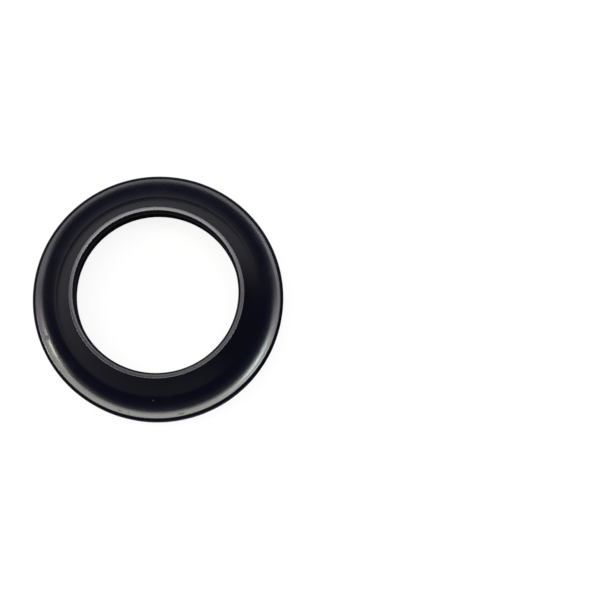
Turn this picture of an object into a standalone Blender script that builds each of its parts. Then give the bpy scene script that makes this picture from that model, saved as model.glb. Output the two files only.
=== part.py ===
"""A fork dust seal: one moulded rubber ring that wipes a motorcycle's fork tube clean.

Its spigot is pressed into the top of the slider, its flange rests on the slider's rim, and its
cone carries the wiping lip. The ring stands on its spigot, with the tube's axis along Z.
"""

import math

import bmesh
import bpy
from mathutils import Vector

# What the ring fits, in metres: the tube that slides through it and the slider around it.
TUBE_DIAMETER = 0.0330
SEAL_SPACE = 0.0065
LIP_SQUEEZE = 0.0003
LOWER_LIP_SQUEEZE = 0.00005
NECK_SQUEEZE = 0.00017

# Heights. The crest is the edge between flank and land, before it is rounded.
SPIGOT_DEPTH = 0.0055
RIM_THICKNESS = 0.00268
CREST_HEIGHT = 0.0143

# The flange's top: a nearly level shelf, then a sweep that rises to the foot of the cone
FLANGE_OVERHANG = 0.0024
SHELF_WIDTH = 0.00192
SHELF_SLOPE = math.radians(2.0)
SWEEP_WIDTH = 0.00246
SWEEP_SLOPE = math.radians(18.0)
RIM_ROUND = 0.00083
SHELF_FILLET = 0.0075
FOOT_FILLET = 0.0043
NECK_FILLET = 0.0002

# The thin flash that the mould's parting line leaves on the rim's lower edge
FLASH_PROUD = 0.00005
FLASH_THICKNESS = 0.00012

# The lips
LAND_WIDTH = 0.0008
LAND_SLOPE = math.radians(5.0)
LAND_OVERHANG = 0.0004
LAND_ROUND = 0.0002
LIP_DROP = 0.00107
LIP_EDGE = 0.00015
LOWER_LIP_DROP = 0.0041
LOWER_LIP_RISE = 0.0012
LOWER_LIP_SLOPE = math.radians(45.0)
GROOVE_ROUND = 0.0004

# The spigot and its barbs
TUBE_ROOM = 0.0033
BORE_FILLET = 0.0005
BASE_CHAMFER = 0.0003
BARB_COUNT = 3
BARB_PITCH = 0.0011
FIRST_BARB_HEIGHT = 0.0009
BARB_PROUD = 0.00023
BARB_TIP = 0.00014
BARB_SHOULDER = 0.0004
BARB_GROOVE = 0.0001

# The slot through the barbs, turned from the front towards +X
NOTCH_WIDTH = 0.0026
NOTCH_DEPTH = 0.0009
NOTCH_BELOW_FLANGE = 0.0015
NOTCH_BEARING = math.radians(69.7)
CUTTER_MARGIN = 0.001

# Facets, and how much of a side the arcs at its two ends may take up
RING_SEGMENTS = 96
SHARP_ANGLE = math.radians(30.0)
ARC_ROOM = 0.97

# Rubber
RUBBER_COLOUR = (0.012, 0.012, 0.017, 1.0)
RUBBER_ROUGHNESS = 0.36

# Radii that several features share
TUBE_RADIUS = TUBE_DIAMETER / 2
BORE_RADIUS = TUBE_RADIUS + TUBE_ROOM
NECK_RADIUS = TUBE_RADIUS + SEAL_SPACE + NECK_SQUEEZE
RIM_RADIUS = NECK_RADIUS + FLANGE_OVERHANG


def remove_scene_objects():
    for obj in list(bpy.data.objects):
        bpy.data.objects.remove(obj, do_unlink=True)


def corner(radius, height, rounding=0.0, steps=1):
    """A corner of the section: its place, and the radius and facets of the arc that rounds it."""
    return Vector((radius, height)), rounding, steps


def arc_reach(before, point, after, rounding):
    """How far from its corner an arc of this radius touches the corner's two sides."""
    half = (before - point).normalized().angle((after - point).normalized()) / 2
    return rounding / math.tan(half)


def rounded(before, point, after, rounding, steps):
    """The corner's own point, or the points of the arc that touches both of its sides."""
    if rounding == 0.0:
        return [point]
    back = (before - point).normalized()
    ahead = (after - point).normalized()
    half = back.angle(ahead) / 2
    reach = arc_reach(before, point, after, rounding)
    centre = point + (back + ahead).normalized() * (rounding / math.sin(half))
    start = (point + back * reach - centre).normalized()
    end = (point + ahead * reach - centre).normalized()
    return [centre + start.slerp(end, step / steps) * rounding for step in range(steps + 1)]


def spigot_corners():
    """From the spigot's bore, across the flat base and up the barbs to the plain neck."""
    corners = [
        corner(BORE_RADIUS, BASE_CHAMFER),
        corner(BORE_RADIUS + BASE_CHAMFER, 0.0),
        corner(NECK_RADIUS - BASE_CHAMFER, 0.0),
        corner(NECK_RADIUS, BASE_CHAMFER),
    ]
    for index in range(BARB_COUNT):
        tip = FIRST_BARB_HEIGHT + index * BARB_PITCH
        corners.append(corner(NECK_RADIUS + BARB_PROUD, tip - BARB_TIP / 2))
        corners.append(corner(NECK_RADIUS + BARB_PROUD, tip + BARB_TIP / 2))
        corners.append(corner(NECK_RADIUS - BARB_GROOVE, tip + BARB_SHOULDER))
    corners.append(corner(NECK_RADIUS, tip + BARB_SHOULDER + BARB_GROOVE))
    corners.append(corner(NECK_RADIUS, SPIGOT_DEPTH, NECK_FILLET, 3))
    return corners


def flange_corners(knee, foot):
    """From the flange's underside, round its rim and in over the shelf to the cone's foot."""
    flash = RIM_RADIUS + FLASH_PROUD
    return [
        corner(flash, SPIGOT_DEPTH),
        corner(flash, SPIGOT_DEPTH + FLASH_THICKNESS),
        corner(RIM_RADIUS, SPIGOT_DEPTH + 2 * FLASH_THICKNESS),
        corner(RIM_RADIUS, SPIGOT_DEPTH + RIM_THICKNESS, RIM_ROUND, 5),
        corner(knee.x, knee.y, SHELF_FILLET, 3),
        corner(foot.x, foot.y, FOOT_FILLET, 7),
    ]


def cone_corners(foot):
    """Over the cone's top land, down past both lips and along the lower lip to the bore."""
    lip = TUBE_RADIUS - LIP_SQUEEZE
    lower_lip = TUBE_RADIUS - LOWER_LIP_SQUEEZE
    land_inner = lip + LAND_OVERHANG
    land_outer = land_inner + LAND_WIDTH
    land_fall = LAND_WIDTH * math.tan(LAND_SLOPE)
    lip_height = CREST_HEIGHT - land_fall - LIP_DROP
    lower_height = lip_height - LOWER_LIP_DROP
    # The cone's inner face runs parallel to its outer flank.
    spread = (foot.x - land_outer) / (CREST_HEIGHT - foot.y)
    groove_height = lower_height + LOWER_LIP_RISE
    groove_radius = lip + (lip_height - LIP_EDGE - groove_height) * spread
    root_height = lower_height - LIP_EDGE - (BORE_RADIUS - lower_lip) * math.tan(LOWER_LIP_SLOPE)
    return [
        corner(land_outer, CREST_HEIGHT, LAND_ROUND, 3),
        corner(land_inner, CREST_HEIGHT - land_fall),
        corner(lip, lip_height),
        corner(lip, lip_height - LIP_EDGE),
        corner(groove_radius, groove_height, GROOVE_ROUND, 4),
        corner(lower_lip, lower_height),
        corner(lower_lip, lower_height - LIP_EDGE),
        corner(BORE_RADIUS, root_height, BORE_FILLET, 3),
    ]


def section():
    """The ring's closed section, as radius and height, with every corner rounded."""
    rim_height = SPIGOT_DEPTH + RIM_THICKNESS
    knee = Vector((RIM_RADIUS - SHELF_WIDTH, rim_height + SHELF_WIDTH * math.tan(SHELF_SLOPE)))
    foot = knee + Vector((-SWEEP_WIDTH, SWEEP_WIDTH * math.tan(SWEEP_SLOPE)))
    corners = spigot_corners() + flange_corners(knee, foot) + cone_corners(foot)
    points = [point for point, rounding, steps in corners]
    count = len(corners)
    reaches = []
    for index, (point, rounding, steps) in enumerate(corners):
        reaches.append(arc_reach(points[index - 1], point, points[(index + 1) % count], rounding))
    outline = []
    for index, (point, rounding, steps) in enumerate(corners):
        before = points[index - 1]
        after = points[(index + 1) % count]
        # Where the arcs at both ends of a side would overlap, they share the side.
        if rounding > 0.0:
            room_before = ARC_ROOM * (point - before).length / (reaches[index - 1] + reaches[index])
            room_after = ARC_ROOM * (after - point).length / (reaches[index] + reaches[(index + 1) % count])
            rounding *= min(1.0, room_before, room_after)
        outline.extend(rounded(before, point, after, rounding, steps))
    return outline


def rubber():
    material = bpy.data.materials.new("black_rubber")
    material.use_nodes = True
    shader = material.node_tree.nodes["Principled BSDF"]
    shader.inputs["Base Color"].default_value = RUBBER_COLOUR
    shader.inputs["Roughness"].default_value = RUBBER_ROUGHNESS
    shader.inputs["Metallic"].default_value = 0.0
    return material


def turned_ring(name, outline):
    """The outline spun once round Z, as a closed mesh."""
    mesh = bpy.data.meshes.new(name)
    turned = bmesh.new()
    verts = [turned.verts.new((point.x, 0.0, point.y)) for point in outline]
    edges = [turned.edges.new((verts[i - 1], verts[i])) for i in range(len(verts))]
    bmesh.ops.spin(
        turned,
        geom=verts + edges,
        cent=(0.0, 0.0, 0.0),
        axis=(0.0, 0.0, 1.0),
        angle=math.tau,
        steps=RING_SEGMENTS,
        use_merge=True,
    )
    bmesh.ops.recalc_face_normals(turned, faces=turned.faces)
    turned.to_mesh(mesh)
    turned.free()
    mesh.shade_smooth()
    mesh.set_sharp_from_angle(angle=SHARP_ANGLE)
    ring = bpy.data.objects.new(name, mesh)
    bpy.context.scene.collection.objects.link(ring)
    return ring


def notch_cutter():
    """A block that reaches in from outside the barbs to the notch's floor, and out below the base."""
    inner = NECK_RADIUS - NOTCH_DEPTH
    outer = NECK_RADIUS + BARB_PROUD + CUTTER_MARGIN
    top = SPIGOT_DEPTH - NOTCH_BELOW_FLANGE
    bpy.ops.mesh.primitive_cube_add(size=1.0, location=(0.0, 0.0, 0.0))
    cutter = bpy.context.object
    cutter.name = "notch_cutter"
    for vert in cutter.data.vertices:
        vert.co.x = inner if vert.co.x < 0 else outer
        vert.co.y *= NOTCH_WIDTH
        vert.co.z = -CUTTER_MARGIN if vert.co.z < 0 else top
    cutter.rotation_euler.z = NOTCH_BEARING - math.pi / 2
    cutter.hide_render = True
    cutter.display_type = "WIRE"
    return cutter


def dust_seal():
    ring = turned_ring("dust_seal", section())
    ring.data.materials.append(rubber())
    notch = ring.modifiers.new("notch", "BOOLEAN")
    notch.operation = "DIFFERENCE"
    notch.solver = "EXACT"
    notch.object = notch_cutter()
    return ring


def main():
    remove_scene_objects()
    dust_seal()


main()
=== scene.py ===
"""A moulded rubber fork dust seal on a pale studio floor, dressed round its packed solid."""

import math

import bmesh
import bpy
from mathutils import Matrix, Vector, noise


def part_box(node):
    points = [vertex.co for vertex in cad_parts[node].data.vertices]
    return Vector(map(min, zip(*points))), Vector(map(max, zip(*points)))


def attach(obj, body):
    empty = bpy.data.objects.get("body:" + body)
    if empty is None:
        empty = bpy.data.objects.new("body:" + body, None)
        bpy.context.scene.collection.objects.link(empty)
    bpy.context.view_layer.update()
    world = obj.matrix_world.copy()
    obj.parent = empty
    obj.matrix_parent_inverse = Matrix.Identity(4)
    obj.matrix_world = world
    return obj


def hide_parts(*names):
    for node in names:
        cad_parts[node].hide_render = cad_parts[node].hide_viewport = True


bl_info = {
    "name": "Fork Dust Seal",
    "version": (1, 0, 0),
    "blender": (4, 5, 0),
    "location": "3D View > Sidebar > Dust Seal",
    "description": "Builds a moulded rubber fork dust seal and a plain studio round it",
    "category": "Object",
}

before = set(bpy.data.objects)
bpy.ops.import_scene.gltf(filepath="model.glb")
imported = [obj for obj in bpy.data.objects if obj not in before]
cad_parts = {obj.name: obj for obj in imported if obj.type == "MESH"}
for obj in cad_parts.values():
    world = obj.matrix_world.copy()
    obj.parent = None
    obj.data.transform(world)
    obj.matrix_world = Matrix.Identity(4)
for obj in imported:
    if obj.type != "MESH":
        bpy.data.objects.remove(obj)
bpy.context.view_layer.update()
base_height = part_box("dust_seal")[0].z

SHARP_ANGLE = math.radians(30.0)


# Sizes and colours that a user would change

def length(name, description, default):
    """A size in metres, shown with its unit."""
    return bpy.props.FloatProperty(
        name=name, description=description, default=default, unit="LENGTH", precision=5
    )


def slope(name, description, degrees):
    """An angle, given in degrees and kept in radians."""
    return bpy.props.FloatProperty(
        name=name, description=description, default=math.radians(degrees), subtype="ANGLE"
    )


def share(name, description, default):
    """A number from nought to one."""
    return bpy.props.FloatProperty(
        name=name, description=description, default=default, min=0.0, max=1.0, subtype="FACTOR"
    )


def count(name, description, default):
    """A whole number."""
    return bpy.props.IntProperty(name=name, description=description, default=default, min=1)


def colour(name, description, default):
    """A colour of the scene's own light."""
    return bpy.props.FloatVectorProperty(
        name=name, description=description, default=default,
        size=3, min=0.0, max=1.0, subtype="COLOR",
    )


class SealSizes(bpy.types.PropertyGroup):
    """The ring's section and the facets of its fine mesh."""

    tube: length("Tube", "Diameter of the fork tube that the lips wipe", 0.0330)
    seal_space: length("Seal space", "From the tube to the slider's counterbore", 0.0065)
    lip_squeeze: length("Lip squeeze", "How far the free wiping lip stands inside the tube", 0.0003)
    lower_squeeze: length("Lower squeeze", "The same for the second lip", 0.00005)
    neck_squeeze: length("Neck squeeze", "How far the neck stands outside the counterbore", 0.00017)
    spigot: length("Spigot", "Depth of the spigot below the flange", 0.0055)
    rim: length("Rim", "Thickness of the flange at its rim", 0.00268)
    crest: length("Crest", "Height of the cone's crest before it is rounded", 0.0143)
    overhang: length("Overhang", "How far the flange stands out past the neck", 0.0024)
    shelf: length("Shelf", "Width of the flange's nearly level shelf", 0.00192)
    shelf_slope: slope("Shelf slope", "How steeply the shelf rises inwards", 2.0)
    sweep: length("Sweep", "Width of the sweep from the shelf to the cone's foot", 0.00246)
    sweep_slope: slope("Sweep slope", "How steeply the sweep rises inwards", 18.0)
    rim_round: length("Rim round", "Radius of the rim's upper edge", 0.00083)
    shelf_fillet: length("Shelf fillet", "Radius between shelf and sweep", 0.0075)
    foot_fillet: length("Foot fillet", "Radius between sweep and cone", 0.0043)
    neck_fillet: length("Neck fillet", "Radius under the flange", 0.0002)
    flash_proud: length("Flash", "How far the moulding flash stands out from the rim", 0.00005)
    flash_thickness: length("Flash thickness", "Thickness of the moulding flash", 0.00012)
    land: length("Land", "Width of the land on top of the cone", 0.0008)
    land_slope: slope("Land slope", "How steeply the land falls inwards", 5.0)
    land_overhang: length("Land overhang", "How far the wiping lip stands inside the land", 0.0004)
    land_round: length("Land round", "Radius of the crest between flank and land", 0.0002)
    lip_drop: length("Lip drop", "From the land's inner edge down to the wiping lip", 0.00107)
    lip_edge: length("Lip edge", "Width of each lip's working edge", 0.00015)
    lower_drop: length("Lower drop", "From the wiping lip down to the second lip", 0.0041)
    lower_rise: length("Lower rise", "Height of the second lip's upper face", 0.0012)
    groove_round: length("Groove round", "Radius of the groove between the lips", 0.0004)
    tube_room: length("Tube room", "From the tube to the spigot's bore", 0.0033)
    bore_fillet: length("Bore fillet", "Radius between the spigot's bore and the second lip", 0.0005)
    base_chamfer: length("Base chamfer", "Chamfer on both edges of the flat base", 0.0003)
    barbs: count("Barbs", "Barbs round the spigot", 3)
    barb_pitch: length("Barb pitch", "From one barb to the next", 0.0011)
    barb_height: length("First barb", "Height of the lowest barb's tip", 0.0009)
    barb_proud: length("Barb", "How far a barb stands out from the neck", 0.00023)
    barb_tip: length("Barb tip", "Width of a barb's tip", 0.00014)
    barb_shoulder: length("Barb shoulder", "From a barb's tip up to the groove above it", 0.0004)
    barb_groove: length("Barb groove", "Depth of the groove above a barb", 0.0001)
    slot_width: length("Slot width", "Width of the slot through the barbs", 0.0026)
    slot_depth: length("Slot depth", "Depth of the slot into the neck", 0.0009)
    slot_gap: length("Slot gap", "From the slot's top up to the flange", 0.0015)
    slot_bearing: slope("Slot bearing", "Where the slot is, turned from the front to the right", 69.7)
    fine_round: length("Fine round", "Radius of the sharp edges as the mould leaves them", 0.00004)
    segments: count("Segments", "Facets round the ring", 320)


class RubberLook(bpy.types.PropertyGroup):
    """The finish of the moulded rubber."""

    tint: colour("Rubber", "Colour of the rubber", (0.0026, 0.0026, 0.0105))
    bloom: colour("Bloom", "Colour of the faint grey bloom on it", (0.0055, 0.0055, 0.0130))
    gloss: share("Roughness", "Roughness of the clean rubber", 0.20)
    scuffed: share("Scuff roughness", "Roughness where the rubber has been handled", 0.27)
    turning: length("Turning marks", "Height of the lines that the mould's turning left", 0.0000030)
    grain: length("Grain", "Height of the mould's fine grain", 0.0000005)


class StudioLook(bpy.types.PropertyGroup):
    """Floor, surroundings and lamps."""

    paper: colour("Paper", "Colour of the floor as the lamps light it", (0.14, 0.14, 0.14))
    paper_glow: share("Paper glow", "What makes the floor white where the camera sees it", 0.89)
    room: share("Room", "Brightness of the dim room round the seal", 0.04)
    wall: share("Wall", "How much brighter the room is low down behind the seal", 0.20)
    # How bright the floor's painted reflection glows for mirrored rays; the shade settings below place
    # its painted shade.
    painted_reflection: share("Table", "Brightness of the table as the rubber mirrors it", 0.25)
    reflection_front: share("Table front", "How much of that is left in front of the seal", 0.35)
    reflection_far: share("Table far off", "How much of it is left far from the seal", 0.5)
    shade_bearing: slope("Shade bearing", "Where the table is dark, from the right to the back", -15.0)
    shade_inner: slope("Shade inside", "How far round from there it is darkest", 18.0)
    shade_outer: slope("Shade outside", "How far round it reaches at all", 56.0)
    floor_radius: length("Floor", "Radius of the floor", 0.8)
    lamp_height: length("Lamp height", "From the seal up to the lamps", 2.5)


GROUPS = {
    "fork_seal_sizes": SealSizes,
    "fork_seal_rubber": RubberLook,
    "fork_seal_studio": StudioLook,
}


# Shader nodes

class Value:
    """A shader socket that can stand in an expression, where each operator adds its Math node."""

    def __init__(self, shader, socket):
        self.shader = shader
        self.socket = socket

    def __add__(self, other):
        return self.shader.math("ADD", self, other)

    def __sub__(self, other):
        return self.shader.math("SUBTRACT", self, other)

    def __rsub__(self, other):
        return self.shader.math("SUBTRACT", other, self)

    def __mul__(self, other):
        return self.shader.math("MULTIPLY", self, other)

    def __truediv__(self, other):
        return self.shader.math("DIVIDE", self, other)

    def __pow__(self, other):
        return self.shader.math("POWER", self, other)

    __radd__ = __add__
    __rmul__ = __mul__


class Shader:
    """The nodes of one material or world."""

    def __init__(self, owner):
        owner.use_nodes = True
        self.tree = owner.node_tree
        self.tree.nodes.clear()

    def node(self, kind, settings=None, sockets=None, output=0):
        """Adds a node, makes its settings, then its sockets, and gives the output asked for."""
        node = self.tree.nodes.new(kind)
        for name, setting in (settings or {}).items():
            setattr(node, name, setting)
        for name, value in (sockets or {}).items():
            if isinstance(value, Value):
                self.tree.links.new(value.socket, node.inputs[name])
            else:
                node.inputs[name].default_value = value
        return Value(self, node.outputs[output]) if node.outputs else None

    def math(self, operation, *values):
        return self.node("ShaderNodeMath", {"operation": operation}, dict(enumerate(values)))

    def mixed(self, factor, first, second):
        """Two colours, mixed by the factor."""
        sockets = {0: factor, 6: first, 7: second}
        return self.node("ShaderNodeMix", {"data_type": "RGBA"}, sockets, output=2)

    def noise(self, place, scale, detail):
        """Soft noise round a half, with features of about one over the scale."""
        sockets = {"Vector": place, "Scale": scale, "Detail": detail}
        return self.node("ShaderNodeTexNoise", None, sockets)

    def parts(self, place, axes="XYZ"):
        """The place's parts along these axes."""
        return [self.node("ShaderNodeSeparateXYZ", None, {0: place}, axis) for axis in axes]

    def smooth_step(self, value, low, high):
        """Nought up to the low value, one from the high value on, and smooth between them."""
        settings = {"interpolation_type": "SMOOTHSTEP"}
        sockets = {"Value": value, "From Min": low, "From Max": high}
        return self.node("ShaderNodeMapRange", settings, sockets)

    def ray(self, kind):
        """One where the ray is of this kind, and nought elsewhere."""
        return self.node("ShaderNodeLightPath", output=kind)

    def seen(self):
        """One for what the camera sees, also through glass."""
        return self.ray("Is Camera Ray") + self.ray("Is Transmission Ray")


def opaque(tint):
    return (*tint, 1.0)


# The ring

# How the flash is trimmed: the share of it that comes off on average and at most, and how much
# that changes with a slow and a quick noise, each with its waves to the radius
TRIM_MEAN = 0.5
TRIM_MOST = 0.9
TRIM_SLOW = (0.6, 7.0)
TRIM_QUICK = (0.3, 31.0)

# How far the slot's cutter stands out past the ring
CUTTER_MARGIN = 0.001


def section_corners(sizes):
    """The section's corners, counter-clockwise: radius, height, rounding and the facets of that."""
    tube = sizes.tube / 2
    bore = tube + sizes.tube_room
    neck = tube + sizes.seal_space + sizes.neck_squeeze
    rim = neck + sizes.overhang
    flash = rim + sizes.flash_proud
    chamfer = sizes.base_chamfer
    fine = sizes.fine_round
    corners = [
        (bore, chamfer, 0.0, 1),
        (bore + chamfer, 0.0, fine, 2),
        (neck - chamfer, 0.0, fine, 2),
        (neck, chamfer, fine, 2),
    ]
    for index in range(sizes.barbs):
        tip = sizes.barb_height + index * sizes.barb_pitch
        corners.append((neck + sizes.barb_proud, tip - sizes.barb_tip / 2, fine, 2))
        corners.append((neck + sizes.barb_proud, tip + sizes.barb_tip / 2, fine, 2))
        corners.append((neck - sizes.barb_groove, tip + sizes.barb_shoulder, fine, 2))
    corners.append((neck, tip + sizes.barb_shoulder + sizes.barb_groove, 0.0, 1))
    corners.append((neck, sizes.spigot, sizes.neck_fillet, 4))

    rim_height = sizes.spigot + sizes.rim
    knee = rim - sizes.shelf
    knee_height = rim_height + sizes.shelf * math.tan(sizes.shelf_slope)
    foot = knee - sizes.sweep
    foot_height = knee_height + sizes.sweep * math.tan(sizes.sweep_slope)
    corners += [
        (flash, sizes.spigot, 0.0, 1),
        (flash, sizes.spigot + sizes.flash_thickness, 0.0, 1),
        (rim, sizes.spigot + 2 * sizes.flash_thickness, 0.0, 1),
        (rim, rim_height, sizes.rim_round, 12),
        (knee, knee_height, sizes.shelf_fillet, 12),
        (foot, foot_height, sizes.foot_fillet, 16),
    ]

    lip = tube - sizes.lip_squeeze
    lower_lip = tube - sizes.lower_squeeze
    land_inner = lip + sizes.land_overhang
    land_outer = land_inner + sizes.land
    land_height = sizes.crest - sizes.land * math.tan(sizes.land_slope)
    lip_height = land_height - sizes.lip_drop
    lower_height = lip_height - sizes.lower_drop
    groove_height = lower_height + sizes.lower_rise
    # The cone's inner face runs parallel to its outer flank, and the second lip's underside
    # falls as far as it widens.
    spread = (foot - land_outer) / (sizes.crest - foot_height)
    groove = lip + (lip_height - sizes.lip_edge - groove_height) * spread
    corners += [
        (land_outer, sizes.crest, sizes.land_round, 6),
        (land_inner, land_height, fine, 3),
        (lip, lip_height, fine, 3),
        (lip, lip_height - sizes.lip_edge, fine, 3),
        (groove, groove_height, sizes.groove_round, 6),
        (lower_lip, lower_height, fine, 3),
        (lower_lip, lower_height - sizes.lip_edge, fine, 3),
        (bore, lower_height - sizes.lip_edge - (bore - lower_lip), sizes.bore_fillet, 6),
    ]
    return corners


def draw_section(ring, corners):
    """Draws the closed section: a pen is extruded along its sides and spun round its corners."""
    points = [Vector((radius, 0.0, height)) for radius, height, rounding, steps in corners]
    chain = []
    for index, (radius, height, rounding, steps) in enumerate(corners):
        point = points[index]
        back = (points[index - 1] - point).normalized()
        ahead = (points[(index + 1) % len(points)] - point).normalized()
        half = back.angle(ahead) / 2
        start = point + back * (rounding / math.tan(half))
        if chain:
            pen = bmesh.ops.extrude_vert_indiv(ring, verts=[chain[-1]])["verts"][0]
            pen.co = start
        else:
            pen = ring.verts.new(start)
        chain.append(pen)
        if rounding > 0.0:
            arc = bmesh.ops.spin(
                ring,
                geom=[pen],
                cent=point + (back + ahead).normalized() * (rounding / math.sin(half)),
                axis=ahead.cross(back).normalized(),
                angle=math.pi - 2 * half,
                steps=steps,
            )
            chain.append(arc["geom_last"][0])
    ring.edges.new((chain[-1], chain[0]))


def turned_ring(sizes):
    """The section spun once round the tube's axis."""
    ring = bmesh.new()
    draw_section(ring, section_corners(sizes))
    bmesh.ops.spin(
        ring,
        geom=ring.verts[:] + ring.edges[:],
        cent=(0.0, 0.0, 0.0),
        axis=(0.0, 0.0, 1.0),
        angle=math.tau,
        steps=sizes.segments,
        use_merge=True,
    )
    bmesh.ops.recalc_face_normals(ring, faces=ring.faces)
    return ring


def trim_flash(ring, sizes):
    """Trims the flash unevenly round the rim, as a hand with a knife leaves it."""
    rim = sizes.tube / 2 + sizes.seal_space + sizes.neck_squeeze + sizes.overhang
    for vert in ring.verts:
        radius = math.hypot(vert.co.x, vert.co.y)
        if radius > rim + sizes.flash_proud / 2:
            around = Vector((vert.co.x, vert.co.y, 0.0)) / rim
            wear = TRIM_MEAN
            for strength, waves in (TRIM_SLOW, TRIM_QUICK):
                wear += strength * noise.noise(around * waves)
            kept = radius - TRIM_MOST * sizes.flash_proud * min(max(wear, 0.0), 1.0)
            vert.co.xy *= kept / radius


def slot_cutter(sizes):
    """A block that reaches in from outside the barbs to the slot's floor, and below the base."""
    neck = sizes.tube / 2 + sizes.seal_space + sizes.neck_squeeze
    inner = neck - sizes.slot_depth
    outer = neck + sizes.barb_proud + CUTTER_MARGIN
    top = sizes.spigot - sizes.slot_gap
    block = bmesh.new()
    bmesh.ops.create_cube(block, size=1.0)
    size = (outer - inner, sizes.slot_width, top + CUTTER_MARGIN)
    middle = ((outer + inner) / 2, 0.0, (top - CUTTER_MARGIN) / 2)
    bmesh.ops.scale(block, vec=size, verts=block.verts)
    bmesh.ops.translate(block, vec=middle, verts=block.verts)
    turn = Matrix.Rotation(sizes.slot_bearing - math.pi / 2, 3, "Z")
    bmesh.ops.rotate(block, cent=(0.0, 0.0, 0.0), matrix=turn, verts=block.verts)
    return placed(block, "slot_cutter")


def placed(shape, name):
    """The bmesh as an object at the origin."""
    mesh = bpy.data.meshes.new(name)
    shape.to_mesh(mesh)
    shape.free()
    obj = bpy.data.objects.new(name, mesh)
    bpy.context.scene.collection.objects.link(obj)
    return obj


def cut(obj, cutter):
    """Cuts the cutter's shape out of the object for good, and removes the cutter."""
    modifier = obj.modifiers.new("cut", "BOOLEAN")
    modifier.operation = "DIFFERENCE"
    modifier.solver = "EXACT"
    modifier.object = cutter
    evaluated = obj.evaluated_get(bpy.context.evaluated_depsgraph_get())
    mesh = bpy.data.meshes.new_from_object(evaluated)
    obj.modifiers.clear()
    obj.data = mesh
    bpy.data.objects.remove(cutter)


# Rubber

RUBBER_IOR = 1.5

# The turned lines change slowly round the ring and quickly across it, and they show in the
# finish as well as in the shape.
LINES_AROUND = 0.8
LINES_ACROSS = 3500.0
LINES_IN_FINISH = 0.16

# Noises, each with its scale and detail, and from where to where each makes a place handled or
# rubbed
LINES_NOISE = (1.0, 3.0)
GRAIN_NOISE = (6000.0, 3.0)
HANDLED_NOISE = (160.0, 4.0)
HANDLED_FROM_TO = (0.50, 0.72)
HANDLED_ROUGHNESS = 0.03
RUBBED_NOISE = (700.0, 3.0)
RUBBED_FROM_TO = (0.58, 0.75)
BLOOM_SHARE = 0.5

# Marks begin at this height and fade over their edge, which a fine noise makes ragged.
TOP_FROM_TO = (0.0076, 0.0079)
MARK_EDGE = (0.7, 1.3)
RAGGED_NOISE = (2500.0, 2.0)
RAGGED_SPREAD = 1.2

# Marks on the ring's top: how far round from the right, the radius, half the length round the
# ring, half the width, the roughness and the colour
MARKS = {
    "scuff": (math.radians(201.2), 0.02400, 0.00050, 0.00055, 0.34, (0.012, 0.010, 0.014)),
    "long_smudge": (math.radians(281.4), 0.02442, 0.00075, 0.00018, 0.42, (0.040, 0.018, 0.016)),
    "short_smudge": (math.radians(252.2), 0.02446, 0.00050, 0.00014, 0.40, (0.030, 0.019, 0.014)),
    "dash": (math.radians(256.9), 0.02440, 0.00020, 0.00010, 0.40, (0.010, 0.010, 0.012)),
    "dust": (math.radians(268.0), 0.02138, 0.00009, 0.00009, 0.60, (0.150, 0.150, 0.140)),
}


def mark(shader, x, y, ragged, bearing, distance, reach, width):
    """One inside a mark on the ring's top and nought outside it, with a ragged edge."""
    outwards = (x * math.cos(bearing) + y * math.sin(bearing) - distance) / width
    around = (y * math.cos(bearing) - x * math.sin(bearing)) / reach
    return 1.0 - shader.smooth_step(outwards * outwards + around * around + ragged, *MARK_EDGE)


def rubber(look):
    """Satin black rubber with the mould's grain and lines, a faint bloom and handling marks."""
    material = bpy.data.materials.new("moulded_rubber")
    shader = Shader(material)
    place = shader.node("ShaderNodeTexCoord", output="Object")
    x, y, z = shader.parts(place)
    radius = (x * x + y * y) ** 0.5
    sockets = {
        "X": x / radius * LINES_AROUND,
        "Y": y / radius * LINES_AROUND,
        "Z": (radius + z) * LINES_ACROSS,
    }
    lines = shader.noise(shader.node("ShaderNodeCombineXYZ", None, sockets), *LINES_NOISE)
    grain = shader.noise(place, *GRAIN_NOISE)
    handled = shader.smooth_step(shader.noise(place, *HANDLED_NOISE), *HANDLED_FROM_TO)
    rubbed = shader.smooth_step(shader.noise(place, *RUBBED_NOISE), *RUBBED_FROM_TO) * handled

    height = lines * look.turning + grain * look.grain
    sockets = {"Strength": 1.0, "Distance": 1.0, "Height": height}
    bump = shader.node("ShaderNodeBump", None, sockets)
    roughness = look.gloss + (lines - 0.5) * LINES_IN_FINISH + handled * HANDLED_ROUGHNESS
    roughness = roughness + rubbed * (look.scuffed - look.gloss)
    tint = shader.mixed(handled * BLOOM_SHARE, opaque(look.tint), opaque(look.bloom))
    top = shader.smooth_step(z, *TOP_FROM_TO)
    ragged = (shader.noise(place, *RAGGED_NOISE) - 0.5) * RAGGED_SPREAD
    for bearing, distance, reach, width, dulled, stain in MARKS.values():
        there = top * mark(shader, x, y, ragged, bearing, distance, reach, width)
        roughness = roughness + there * (dulled - roughness)
        tint = shader.mixed(there, tint, opaque(stain))
    sockets = {
        "Base Color": tint,
        "Roughness": roughness,
        "IOR": RUBBER_IOR,
        "Normal": bump,
    }
    surface = shader.node("ShaderNodeBsdfPrincipled", None, sockets)
    shader.node("ShaderNodeOutputMaterial", None, {"Surface": surface})
    return material


class FORKSEAL_OT_build_ring(bpy.types.Operator):
    """Builds the moulded ring, which stands for the packed solid"""

    bl_idname = "fork_seal.build_ring"
    bl_label = "Build the Ring"

    def execute(self, context):
        sizes = context.scene.fork_seal_sizes
        shape = turned_ring(sizes)
        trim_flash(shape, sizes)
        ring = placed(shape, "rubber_dust_seal")
        cut(ring, slot_cutter(sizes))
        ring.data.name = ring.name
        ring.data.shade_smooth()
        ring.data.set_sharp_from_angle(angle=SHARP_ANGLE)
        ring.data.materials.clear()
        ring.data.materials.append(rubber(context.scene.fork_seal_rubber))
        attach(ring, "root")
        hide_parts("dust_seal")
        return {"FINISHED"}


# The studio

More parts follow.
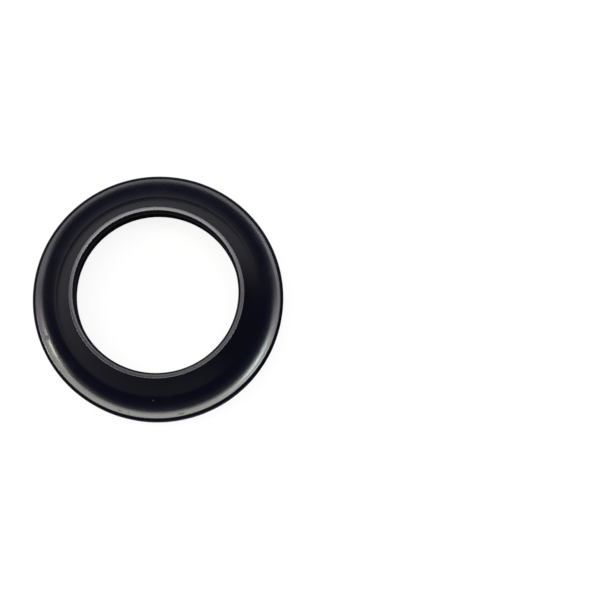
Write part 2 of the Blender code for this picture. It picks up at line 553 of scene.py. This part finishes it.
# Each lamp hangs a little above the last, so that none hides another.
LAMP_STEP = 0.02

# Each lamp lies flat, high above the seal: its lean from the zenith to the right and to the back,
# its spread both ways, all in degrees, its brightness, its tint and its shape
LAMPS = {
    "main_softbox": ((-4.6, -4.2), (35.2, 20.2), 8.1, (1.0, 0.985, 0.92), "ELLIPSE"),
    "long_strip": ((-4.0, 6.6), (57.0, 4.6), 4.3, (1.0, 0.83, 1.0), "RECTANGLE"),
    "back_softbox": ((-3.4, 22.3), (24.7, 7.4), 3.5, (0.98, 0.97, 1.0), "RECTANGLE"),
    "right_lamp": ((13.6, -1.4), (10.4, 6.2), 35.5, (0.86, 1.0, 0.92), "ELLIPSE"),
    "left_lamp": ((-26.1, -1.6), (7.6, 7.4), 28.5, (1.0, 1.0, 0.87), "ELLIPSE"),
    "back_left_lamp": ((-18.6, 15.5), (24.7, 6.8), 3.4, (1.0, 1.0, 1.0), "ELLIPSE"),
    "back_right_lamp": ((9.1, 15.0), (11.3, 9.1), 6.4, (0.92, 0.94, 1.0), "ELLIPSE"),
}

# The camera looks down steeply on the ring: its rise and its turn to the left, how far it is
# from where it aims, and how far it is moved across and up its own view
CAMERA_RISE = math.radians(79.77)
CAMERA_TURN = math.radians(-22.85)
CAMERA_DISTANCE = 0.20871
CAMERA_AIM = Vector((0.0, 0.0, 0.00784))
CAMERA_ACROSS = 0.028922
CAMERA_UP = -0.000714
LENS = 61.03
SENSOR_WIDTH = 36.0
CLIP_FROM_TO = (0.01, 10.0)

FLOOR_SEGMENTS = 128

# Where the painted reflection on the floor changes: from its front to its back, as the sine of the way
# round from the right, from painted shade to pale inside the ring, and from pale to dimmer further off
FRONT_FROM_TO = (-1.2, 0.2)
INSIDE_FROM_TO = (0.0, 0.03)
FAR_FROM_TO = (0.06, 0.16)

# Where the room turns paler: how far a way points back, with this much of a turn to the left
BEHIND_TURN = 0.2
BEHIND_FROM_TO = (-0.2, 1.0)


def set_camera(scene):
    """The camera at the photograph's angle, rolled so that the ring's front stays below."""
    away = Vector((
        math.sin(CAMERA_TURN) * math.cos(CAMERA_RISE),
        -math.cos(CAMERA_TURN) * math.cos(CAMERA_RISE),
        math.sin(CAMERA_RISE),
    ))
    level = Vector((math.cos(CAMERA_TURN), math.sin(CAMERA_TURN), 0.0))
    steep = away.cross(level)
    right = level * math.cos(CAMERA_TURN) - steep * math.sin(CAMERA_TURN)
    up = level * math.sin(CAMERA_TURN) + steep * math.cos(CAMERA_TURN)
    spot = CAMERA_AIM + away * CAMERA_DISTANCE + right * CAMERA_ACROSS + up * CAMERA_UP
    data = bpy.data.cameras.new("camera")
    data.lens = LENS
    data.sensor_width = SENSOR_WIDTH
    data.clip_start, data.clip_end = CLIP_FROM_TO
    camera = bpy.data.objects.new("camera", data)
    turn = Matrix((right, up, away)).transposed().to_4x4()
    camera.matrix_world = Matrix.Translation(spot) @ turn
    scene.collection.objects.link(camera)
    scene.camera = camera


def hang_lamps(scene, height):
    """Flat lamps, so far up that only their direction counts."""
    for name, (lean, spread, brightness, tint, shape) in LAMPS.items():
        height += LAMP_STEP
        ends = []
        for middle, width in zip(lean, spread):
            near = height * math.tan(math.radians(middle - width / 2))
            far = height * math.tan(math.radians(middle + width / 2))
            ends.append((near, far))
        data = bpy.data.lights.new(name, "AREA")
        data.shape = shape
        data.size = ends[0][1] - ends[0][0]
        data.size_y = ends[1][1] - ends[1][0]
        area = data.size * data.size_y
        if shape == "ELLIPSE":
            area *= math.pi / 4
        data.energy = brightness * math.pi * area
        data.color = tint
        lamp = bpy.data.objects.new(name, data)
        lamp.location = (sum(ends[0]) / 2, sum(ends[1]) / 2, base_height + height)
        scene.collection.objects.link(lamp)


def lay_floor(studio):
    """A pale round floor, white to the camera apart from the seal's own shadow, which glows with a
    painted reflection for mirrored rays.
    """
    disc = bmesh.new()
    bmesh.ops.create_circle(
        disc, cap_ends=True, segments=FLOOR_SEGMENTS, radius=studio.floor_radius
    )
    bmesh.ops.translate(disc, vec=(0.0, 0.0, base_height), verts=disc.verts)
    floor = placed(disc, "floor")
    material = bpy.data.materials.new("pale_paper")
    shader = Shader(material)
    lit = shader.node("ShaderNodeBsdfDiffuse", None, {"Color": opaque(studio.paper)})
    glow = shader.node("ShaderNodeEmission", None, {"Strength": shader.seen() * studio.paper_glow})
    shown = shader.node("ShaderNodeAddShader", None, {0: lit, 1: glow})

    # For mirrored rays the floor glows as a painted reflection: palest behind the seal, painted shade
    # to its right and inside it, and dimmer further off.
    x, y = shader.parts(shader.node("ShaderNodeTexCoord", output="Object"), "XY")
    radius = (x * x + y * y) ** 0.5
    ahead = (x * math.cos(studio.shade_bearing) + y * math.sin(studio.shade_bearing)) / radius
    turned = shader.math("ARCCOSINE", ahead)
    clear = shader.smooth_step(turned, studio.shade_inner, studio.shade_outer)
    backwards = shader.smooth_step(y / radius, *FRONT_FROM_TO)
    back = studio.reflection_front + (1.0 - studio.reflection_front) * backwards
    inside = shader.smooth_step(radius, *INSIDE_FROM_TO)
    far = 1.0 - (1.0 - studio.reflection_far) * shader.smooth_step(radius, *FAR_FROM_TO)
    # Painted reflection: the glow that the rubber mirrors, with painted shade to the seal's right and
    # inside the ring.
    strength = studio.room + clear * back * inside * far * studio.painted_reflection
    painted_reflection = shader.node("ShaderNodeEmission", None, {"Strength": strength})
    sockets = {0: shader.ray("Is Glossy Ray"), 1: shown, 2: painted_reflection}
    surface = shader.node("ShaderNodeMixShader", None, sockets)
    shader.node("ShaderNodeOutputMaterial", None, {"Surface": surface})
    floor.data.materials.append(material)


def light_room(scene, studio):
    """A dim room, paler low down behind the seal, and white where the camera sees it."""
    world = bpy.data.worlds.new("room")
    scene.world = world
    shader = Shader(world)
    x, y, z = shader.parts(shader.node("ShaderNodeTexCoord", output="Generated"))
    behind = shader.smooth_step(y - x * BEHIND_TURN, *BEHIND_FROM_TO)
    low = 1.0 - shader.smooth_step(z, 0.0, 1.0)
    dim = studio.room + behind * low * studio.wall
    strength = dim + shader.seen() * (1.0 - dim)
    sockets = {"Color": opaque((1.0, 1.0, 1.0)), "Strength": strength}
    room = shader.node("ShaderNodeBackground", None, sockets)
    shader.node("ShaderNodeOutputWorld", None, {"Surface": room})


class FORKSEAL_OT_set_stage(bpy.types.Operator):
    """Sets up the camera, the lamps, the room and the floor"""

    bl_idname = "fork_seal.set_stage"
    bl_label = "Set the Stage"

    def execute(self, context):
        scene = context.scene
        studio = scene.fork_seal_studio
        set_camera(scene)
        hang_lamps(scene, studio.lamp_height)
        lay_floor(studio)
        light_room(scene, studio)
        scene.view_settings.view_transform = "Standard"
        return {"FINISHED"}


class FORKSEAL_PT_sidebar(bpy.types.Panel):
    """Lists the operators, and the sizes and colours they use"""

    bl_idname = "FORKSEAL_PT_sidebar"
    bl_label = "Fork Dust Seal"
    bl_space_type = "VIEW_3D"
    bl_region_type = "UI"
    bl_category = "Dust Seal"

    def draw(self, context):
        layout = self.layout
        layout.operator(FORKSEAL_OT_build_ring.bl_idname)
        layout.operator(FORKSEAL_OT_set_stage.bl_idname)
        for name, group in GROUPS.items():
            box = layout.box()
            box.label(text=group.__doc__)
            for field in group.__annotations__:
                box.prop(getattr(context.scene, name), field)


CLASSES = (*GROUPS.values(), FORKSEAL_OT_build_ring, FORKSEAL_OT_set_stage, FORKSEAL_PT_sidebar)


def register():
    for kind in CLASSES:
        bpy.utils.register_class(kind)
    for name, group in GROUPS.items():
        setattr(bpy.types.Scene, name, bpy.props.PointerProperty(type=group))


def unregister():
    for name in GROUPS:
        delattr(bpy.types.Scene, name)
    for kind in reversed(CLASSES):
        bpy.utils.unregister_class(kind)


def main():
    """Builds everything: registers the add-on, builds the ring and sets the stage."""
    register()
    bpy.ops.fork_seal.build_ring()
    bpy.ops.fork_seal.set_stage()


if __name__ == "__main__":
    main()
